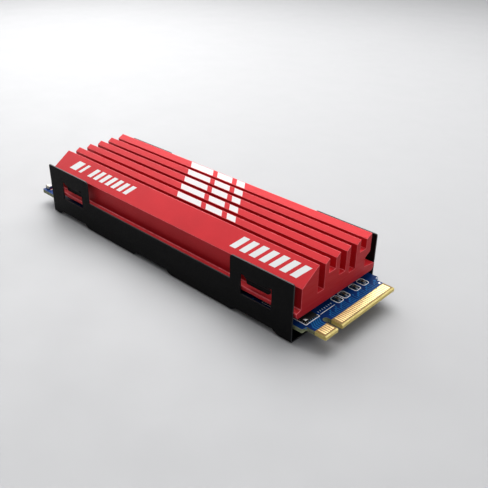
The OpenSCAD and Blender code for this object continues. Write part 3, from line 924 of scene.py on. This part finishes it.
class DRIVE_OT_copper(Operator):
    """Signal traces from the contacts back under the heat sink, and their tented vias, under the lacquer"""

    bl_idname = "drive.copper"
    bl_label = "Traces and vias"

    def execute(self, context):
        settings = context.scene.drive_board
        low, high = box_mm("circuit_board")
        z0, z1 = high[2] - SEAT, high[2] + TRACE_T
        width = settings.trace_width / MM
        start_x = high[0] - settings.bare_length / MM
        shell = Shell()
        rows = solids_mm("edge_contacts_top")[:, :, 1].mean(axis=1)
        free = [y for y in rows if y > KEY_Y]
        # Pairs to the coupling capacitors, which turn through 45 degrees onto their lanes
        for cap in COUPLING_Y:
            pair = sorted(free, key=lambda y: abs(y - cap))[:2]
            for contact, lane in zip(sorted(pair), (cap - LANE, cap + LANE)):
                free.remove(contact)
                bend = PAIR_X[0] - abs(contact - lane)
                path = [(start_x, contact), (PAIR_X[0], contact), (bend, lane), (PAIR_X[1], lane)]
                shell.add(*strip(path, width, z0, z1))
        # Other signals to staggered vias
        for i, y in enumerate(sorted(free)):
            stop = SIGNAL_X - SIGNAL_STAGGER * (i % 3)
            shell.add(*strip([(start_x, y), (stop + 0.3, y), (stop, y + 0.18)], width, z0, z1))
            shell.add(*disc((stop, y + 0.18), VIA_R, z0, z1 + RING_T))
        # Wider power traces beyond the key slot
        for y in sorted(y for y in rows if y < KEY_Y):
            path = [(start_x, y), (36.9, y), (36.0, y + 0.65), (35.2, y + 0.65)]
            shell.add(*strip(path, width * 1.8, z0, z1))
        vias = [(EDGE_VIAS["start"] + EDGE_VIAS["pitch"] * i,
                 (1 if i % 2 else -1) * (EDGE_VIAS["y"] - EDGE_VIAS["stagger"] * (i % 3)))
                for i in range(EDGE_VIAS["count"])]
        for place in vias + [(x, y) for x in VIA_COLUMNS for y in VIA_ROWS]:
            shell.add(*disc(place, VIA_R, z0, z1))
        for y in solids_mm("edge_contacts_bottom")[:, :, 1].mean(axis=1):
            path = [(24.0, y + 0.4), (36.4, y + 0.4), (36.9, y), (start_x, y)]
            shell.add(*strip(path, width, low[2] - TRACE_T, low[2] + SEAT))
        shell.make("copper_traces", [lacquer("Lacquered copper", settings.trace_colour)], "blue_board")
        # Near-black patches of lacquer inside the capacitors' outlines and the switch's outline, next to the
        # heat sink's end.
        clear = Shell()
        for ring in [cap_outline(y) for y in COUPLING_Y] + [SWITCH_PRINT]:
            clear.add(*prism(ring, z0, high[2] + DARK_PATCH_T))
        clear.make("uncoppered_lacquer", [plain("Bare lacquer")], "blue_board")
        return {"FINISHED"}


class DRIVE_OT_board_print(Operator):
    """White printed outlines round the chips and capacitors"""

    bl_idname = "drive.board_print"
    bl_label = "Board print"

    def execute(self, context):
        board_top = box_mm("circuit_board")[1][2]
        width = context.scene.drive_board.print_width / MM
        z = (board_top - SEAT, board_top + TRACE_T + PRINT_T)
        shell = Shell().add(*strip(SWITCH_PRINT, width, *z))
        shell.add(*strip([(ROW_PRINT_X, y) for y in ROW_PRINT_Y], width * 0.7, *z))
        for y in np.linspace(ROW_PRINT_Y[0] + 0.2, ROW_PRINT_Y[1] - 0.2, 7):
            shell.add(*strip([(x, y) for x in ROW_TICK_X], width * 0.6, *z))
        for y in COUPLING_Y:
            shell.add(*strip(cap_outline(y), width, *z, closed=True))
        low, high = box_mm("load_switch_chip")
        x, y = high[0] - 0.16, low[1] + 0.16
        corner = [(high[0] - 0.75, y), (x, y), (x, low[1] + 0.85)]
        shell.add(*prism(corner, high[2] - SEAT, high[2] + PRINT_T))
        for x, y, side in ((37.3, 9.35, 0.42), (36.0, 10.45, 0.26)):
            half = side / 2
            shell.block((x - half, y - half, z[0]), (x + half, y + half, z[1]), 0.05, 0.005, 2, smooth=False)
        for a, b in map(box_mm, OUTLINED):
            (x0, y0), (x1, y1) = a[:2] - OUTLINE_GAP, b[:2] + OUTLINE_GAP
            shell.add(*strip([(x0, y0), (x1, y0), (x1, y1), (x0, y1)], width, *z, closed=True))
        shell.make("board_print", [plain("Board print")], "white_print")
        return {"FINISHED"}


RING_DEPTH, LINING_T = 0.05, 0.04        # depth of the screw notch's rings, and thickness of its lining


class DRIVE_OT_plating(Operator):
    """Gold contacts on both faces of the tongue, and the bare ring and lining of the screw notch"""

    bl_idname = "drive.plating"
    bl_label = "Gold plating"

    def execute(self, context):
        gold = [plain("Gold plating")]
        for side in ("top", "bottom"):
            shell = Shell()
            for low, high in solids_mm("edge_contacts_" + side):
                shell.block(low, high, 0.07, 0.014, 2, smooth=False)
            shell.make("gold_fingers_" + side, gold, "plated_gold", ["edge_contacts_" + side])
        low, high = box_mm("mounting_pad_top")
        floor = box_mm("mounting_pad_bottom")[0][2]
        shell = Shell()
        for z0, z1 in ((high[2] - RING_DEPTH, high[2]), (floor, floor + RING_DEPTH)):
            shell.add(*strip(arc((low[0], 0), (NOTCH_R + PAD_R) / 2, -88, 88, 24), PAD_R - NOTCH_R, z0, z1))
        shell.add(*strip(arc((low[0], 0), NOTCH_R, -89, 89, 24), LINING_T, floor + 0.02, high[2] - 0.02))
        shell.make("screw_land", gold, "plated_gold", ["mounting_pad_top", "mounting_pad_bottom"])
        return {"FINISHED"}


# ---- pads, chips and small parts

class DRIVE_OT_thermal_pads(Operator):
    """Soft gap-filling pads above and below the chips"""

    bl_idname = "drive.thermal_pads"
    bl_label = "Thermal pads"

    def execute(self, context):
        for side in ("upper", "lower"):
            node = "thermal_pad_" + side
            Shell().block(*box_mm(node), 0.6, 0.12, 4).make(
                "gap_filler_" + side, [plain("Thermal pad silicone")], "thermal_pad", [node])
        return {"FINISHED"}


# Chips on the board, those with a ball-grid carrier first
CARRIED_CHIPS = ("controller_package", "memory_package_top", "memory_package_bottom",
                 *("flash_package_%d" % i for i in range(1, 5)))
LEADLESS_CHIPS = ("power_manager_chip", "load_switch_chip", "boot_memory_chip", "step_down_chips",
                  "temperature_sensor")
CHIP_FINISHES = ("Chip moulding", "Package carrier", "Tinned metal", "Laser spot")
CARRIER_T = 0.22
BOARD_MIDDLE_Z, BOARD_END_X = 3.0, 40.05         # a height inside the board, and half its length
SPOT_MOST, SPOT_SHARE, SPOT_R = 0.9, 0.2, 0.38   # laser spot's inset at most, its share, and the radius in it


def stacked(low, high, from_board, thickness):
    """Splits a box into the layer next to the board and the rest. Returns both as (low, high)."""
    near_low, near_high, far_low, far_high = low.copy(), high.copy(), low.copy(), high.copy()
    if from_board > 0:
        near_high[2] = far_low[2] = low[2] + thickness
    else:
        near_low[2] = far_high[2] = high[2] - thickness
    return (near_low, near_high), (far_low, far_high)


def add_leads(shell, low, high, pitch=0.5, width=0.24, reach=0.04, height=0.2):
    """Rows of flat solder feet along all four sides of a leadless chip."""
    for axis in (0, 1):
        across = 1 - axis
        count = int((high[axis] - low[axis] - pitch) // pitch) + 1
        centres = (low[axis] + high[axis]) / 2 + (np.arange(count) - (count - 1) / 2) * pitch
        for c in centres:
            for side in (low[across], high[across]):
                a, b = np.array(low, float), np.array(high, float)
                a[axis], b[axis] = c - width / 2, c + width / 2
                a[across], b[across] = side - reach, side + reach
                b[2] = low[2] + height
                shell.block(a, b, 0.04, 0.03, 1, finish=2, smooth=False)


class DRIVE_OT_chips(Operator):
    """Moulded chips with their carriers, solder feet and laser spots"""

    bl_idname = "drive.chips"
    bl_label = "Chips"

    def execute(self, context):
        finishes = [plain(kind) for kind in CHIP_FINISHES]
        for node in CARRIED_CHIPS + LEADLESS_CHIPS:
            shell = Shell()
            for low, high in solids_mm(node):
                up = 1 if low[2] > BOARD_MIDDLE_Z else -1
                if node in CARRIED_CHIPS:
                    carrier, (low, high) = stacked(low, high, up, CARRIER_T)
                    shell.block(*carrier, 0.08, 0.015, 2, finish=1, smooth=False)
                else:
                    add_leads(shell, low, high)
                shell.block(low, high, 0.10, 0.045)
                reach = min(SPOT_MOST, (high[0] - low[0]) * SPOT_SHARE)
                z = (high[2] - 0.01, high[2] + 0.006) if up > 0 else (low[2] - 0.006, low[2] + 0.01)
                spot = (low[0] + reach, high[1] - reach) if node != "load_switch_chip" else (
                    high[0] - reach, low[1] + reach)
                shell.add(*disc(spot, reach * SPOT_R, *z, 16), 0, 3)
            name = node.replace("package", "moulding").replace("chips", "pair").replace("chip", "body")
            shell.make(name if name != node else node + "_body", finishes, "chip_moulding", [node])
        Shell().block(*box_mm("controller_lid"), 0.25, 0.06, 4).make(
            "controller_heat_spreader", [plain("Nickel lid")], "nickel_lid", ["controller_lid"])
        return {"FINISHED"}


# Chip parts with two metal ends: nodes of the bodies and of the ends, name of the new pieces, and the finish
TWO_ENDED = [
    ("inductor_cores", "inductor_terminals", "inductor", "Inductor core"),
    ("bulk_capacitor_bodies", "bulk_capacitor_terminals", "bulk_capacitor", "Capacitor ceramic"),
    ("coupling_capacitor_bodies", "coupling_capacitor_terminals", "coupling_capacitor", "Capacitor ceramic"),
    *(("decoupling_capacitors_" + side, "decoupling_terminals_" + side, "decoupling_capacitor_" + side,
       "Capacitor ceramic") for side in ("top", "bottom")),
    ("resistor_bodies", "resistor_terminals", "resistor", "Resistor glaze"),
    ("end_capacitor_body", "end_capacitor_terminals", "screw_end_capacitor", "Pale ceramic"),
]
SOLDER_REACH, SOLDER_RISE, SOLDER_INSET, SOLDER_SEAT = 0.22, 0.6, 0.04, 0.02


def fillet(low, high, side, up):
    """Solder climbing a terminal's end: the hollow curve (reach * (1 - sin t), rise * (1 - cos t)) carried
    across it. It stops short of the board's end."""
    face = high[0] if side > 0 else low[0]
    reach = min(SOLDER_REACH, BOARD_END_X - SOLDER_SEAT - side * face)
    rise = (high[2] - low[2]) * SOLDER_RISE
    t = np.linspace(0, np.pi / 2, 5)
    x = face + side * np.concatenate([reach * (1 - np.sin(t)), [-SOLDER_SEAT, -SOLDER_SEAT]])
    z = (low[2] if up > 0 else high[2]) + up * np.concatenate([rise * (1 - np.cos(t)), [rise, 0]])
    if side * up > 0:
        x, z = x[::-1], z[::-1]
    return loft([np.stack([x, np.full(len(x), y), z], -1)
                 for y in (low[1] + SOLDER_INSET, high[1] - SOLDER_INSET)])


class DRIVE_OT_small_parts(Operator):
    """Capacitors, resistors and inductors with their metal ends and solder, and the clock crystal"""

    bl_idname = "drive.small_parts"
    bl_label = "Small parts"

    def execute(self, context):
        for body_node, end_node, name, finish in TWO_ENDED:
            bodies, ends = Shell(), Shell()
            boxes = solids_mm(body_node)
            for low, high in boxes:
                bodies.block(low, high, 0.05, 0.04, 2)
            for low, high in solids_mm(end_node):
                # An end lies on the low side of its body where that body starts at the end's far face
                beside = (np.abs(boxes[:, 0, 0] - high[0]) < 0.01) & (
                    np.abs(boxes[:, :, 1].mean(axis=1) - (low[1] + high[1]) / 2) < 0.01)
                side = -1 if beside.any() else 1
                up = 1 if low[2] > BOARD_MIDDLE_Z else -1
                ends.block(low, high, 0.06, 0.05).add(*fillet(low, high, side, up))
            bodies.make(name + "_body", [plain(finish)], finish.lower().replace(" ", "_"), [body_node])
            ends.make(name + "_ends", [plain("Tinned metal")], "solder_tin", [end_node])
        for part, finish, slot, radius in (("base", "Pale ceramic", "pale_ceramic", 0.15),
                                           ("lid", "Nickel lid", "nickel_lid", 0.30)):
            node = "clock_crystal_" + part
            Shell().block(*box_mm(node), radius, 0.05).make("crystal_" + part, [plain(finish)], slot, [node])
        return {"FINISHED"}


# ---- stage

FLOOR_RADII, FLOOR_Z, FLOOR_STEPS = (0.15, 0.6, 2.5), -0.00002, 96

# Square soft boxes: name, place, target, side in metres, and the setting that holds the power
LIGHTS = (("Overhead", (-0.09, 0.14, 0.29), (0, 0, 0.005), 0.34, "key_power"),
          ("Screw end side", (-0.24, 0.07, 0.20), (0, 0, 0.005), 0.30, "sheen_power"),
          ("Card edge side", (0.33, 0.02, 0.15), (0.01, 0, 0.004), 0.16, "fill_power"))


class DRIVE_OT_stage(Operator):
    """Plain pale floor, soft light and the camera"""

    bl_idname = "drive.stage"
    bl_label = "Stage"

    def execute(self, context):
        scene, settings = context.scene, context.scene.drive_stage
        t = np.linspace(0, 2 * np.pi, FLOOR_STEPS, endpoint=False)
        radii = np.array(FLOOR_RADII)[:, None]
        x, y = radii * np.cos(t), radii * np.sin(t)
        places = np.stack([x, y, np.full_like(x, FLOOR_Z)], -1)
        at = np.arange(x.size).reshape(x.shape)
        near, far = at[:-1], at[1:]
        faces = np.stack([near, far, np.roll(far, -1, 1), np.roll(near, -1, 1)], -1).reshape(-1, 4)
        mesh = bpy.data.meshes.new("floor")
        mesh.from_pydata(places.reshape(-1, 3).tolist(), [], [at[0].tolist()] + faces.tolist())
        mesh.materials.append(grained("Pale floor", settings.floor_colour, 0.60, 0.75, 60, 0.05, 0.01, 3.0))
        floor = bpy.data.objects.new("floor", mesh)
        scene.collection.objects.link(floor)

        # The sky is bright overhead and falls off towards the horizon
        world = bpy.data.worlds.new("Pale room")
        world.use_nodes = True
        sky = world.node_tree.nodes["Background"]
        sky.inputs["Color"].default_value = (0.97, 0.98, 1.0, 1)
        direction = add(world.node_tree, "ShaderNodeTexCoord").outputs["Generated"]
        height = add(world.node_tree, "ShaderNodeSeparateXYZ", {0: direction}).outputs["Z"]
        strength = ranged(world.node_tree, height, 0.25, 1.0, 0.07, 0.85)
        world.node_tree.links.new(strength, sky.inputs["Strength"])
        scene.world = world

        for name, place, target, size, setting in LIGHTS:
            lamp = bpy.data.lights.new(name, "AREA")
            lamp.shape = "SQUARE"
            lamp.size = size
            lamp.energy = getattr(settings, setting)
            light = bpy.data.objects.new(name, lamp)
            light.location = place
            light.rotation_euler = (Vector(target) - Vector(place)).to_track_quat("-Z", "Y").to_euler()
            scene.collection.objects.link(light)

        camera_data = bpy.data.cameras.new("Camera")
        camera_data.lens = settings.lens
        camera_data.clip_start = 0.005
        camera = bpy.data.objects.new("Camera", camera_data)
        az, el = settings.azimuth, settings.elevation
        back = Vector((math.sin(az) * math.cos(el), -math.cos(az) * math.cos(el), math.sin(el)))
        aim = Vector(settings.aim)
        turn = (-back).to_track_quat("-Z", "Y").to_matrix() @ Matrix.Rotation(settings.roll, 3, "Z")
        camera.matrix_world = Matrix.Translation(aim + back * settings.distance) @ turn.to_4x4()
        scene.collection.objects.link(camera)
        scene.camera = camera
        scene.view_settings.view_transform = "Standard"
        return {"FINISHED"}


# ---- panel and registration

OPERATORS = (DRIVE_OT_stage, DRIVE_OT_heat_sink, DRIVE_OT_painted_bars, DRIVE_OT_bracket, DRIVE_OT_board,
             DRIVE_OT_copper, DRIVE_OT_board_print, DRIVE_OT_plating, DRIVE_OT_thermal_pads, DRIVE_OT_chips,
             DRIVE_OT_small_parts)
SETTINGS = (("drive_sink", DriveSinkSettings), ("drive_bracket", DriveBracketSettings),
            ("drive_board", DriveBoardSettings), ("drive_stage", DriveStageSettings))


class DRIVE_PT_panel(Panel):
    """Lists the drive's pieces and their settings"""

    bl_idname = "DRIVE_PT_panel"
    bl_label = "Solid state drive"
    bl_space_type = "VIEW_3D"
    bl_region_type = "UI"
    bl_category = "Drive"

    def draw(self, context):
        for operator in OPERATORS:
            self.layout.operator(operator.bl_idname)
        for name, group in SETTINGS:
            box = self.layout.box()
            for prop in group.__annotations__:
                box.prop(getattr(context.scene, name), prop)


def register():
    """Registers the settings, operators and panel."""
    for name, group in SETTINGS:
        bpy.utils.register_class(group)
        setattr(bpy.types.Scene, name, PointerProperty(type=group))
    for kind in (*OPERATORS, DRIVE_PT_panel):
        bpy.utils.register_class(kind)


def unregister():
    """Removes the panel, operators and settings again."""
    for kind in (DRIVE_PT_panel, *reversed(OPERATORS)):
        bpy.utils.unregister_class(kind)
    for name, group in reversed(SETTINGS):
        delattr(bpy.types.Scene, name)
        bpy.utils.unregister_class(group)


def main():
    """Builds every piece and the stage."""
    register()
    for operator in OPERATORS:
        family, action = operator.bl_idname.split(".")
        getattr(getattr(bpy.ops, family), action)()


if __name__ == "__main__":
    main()
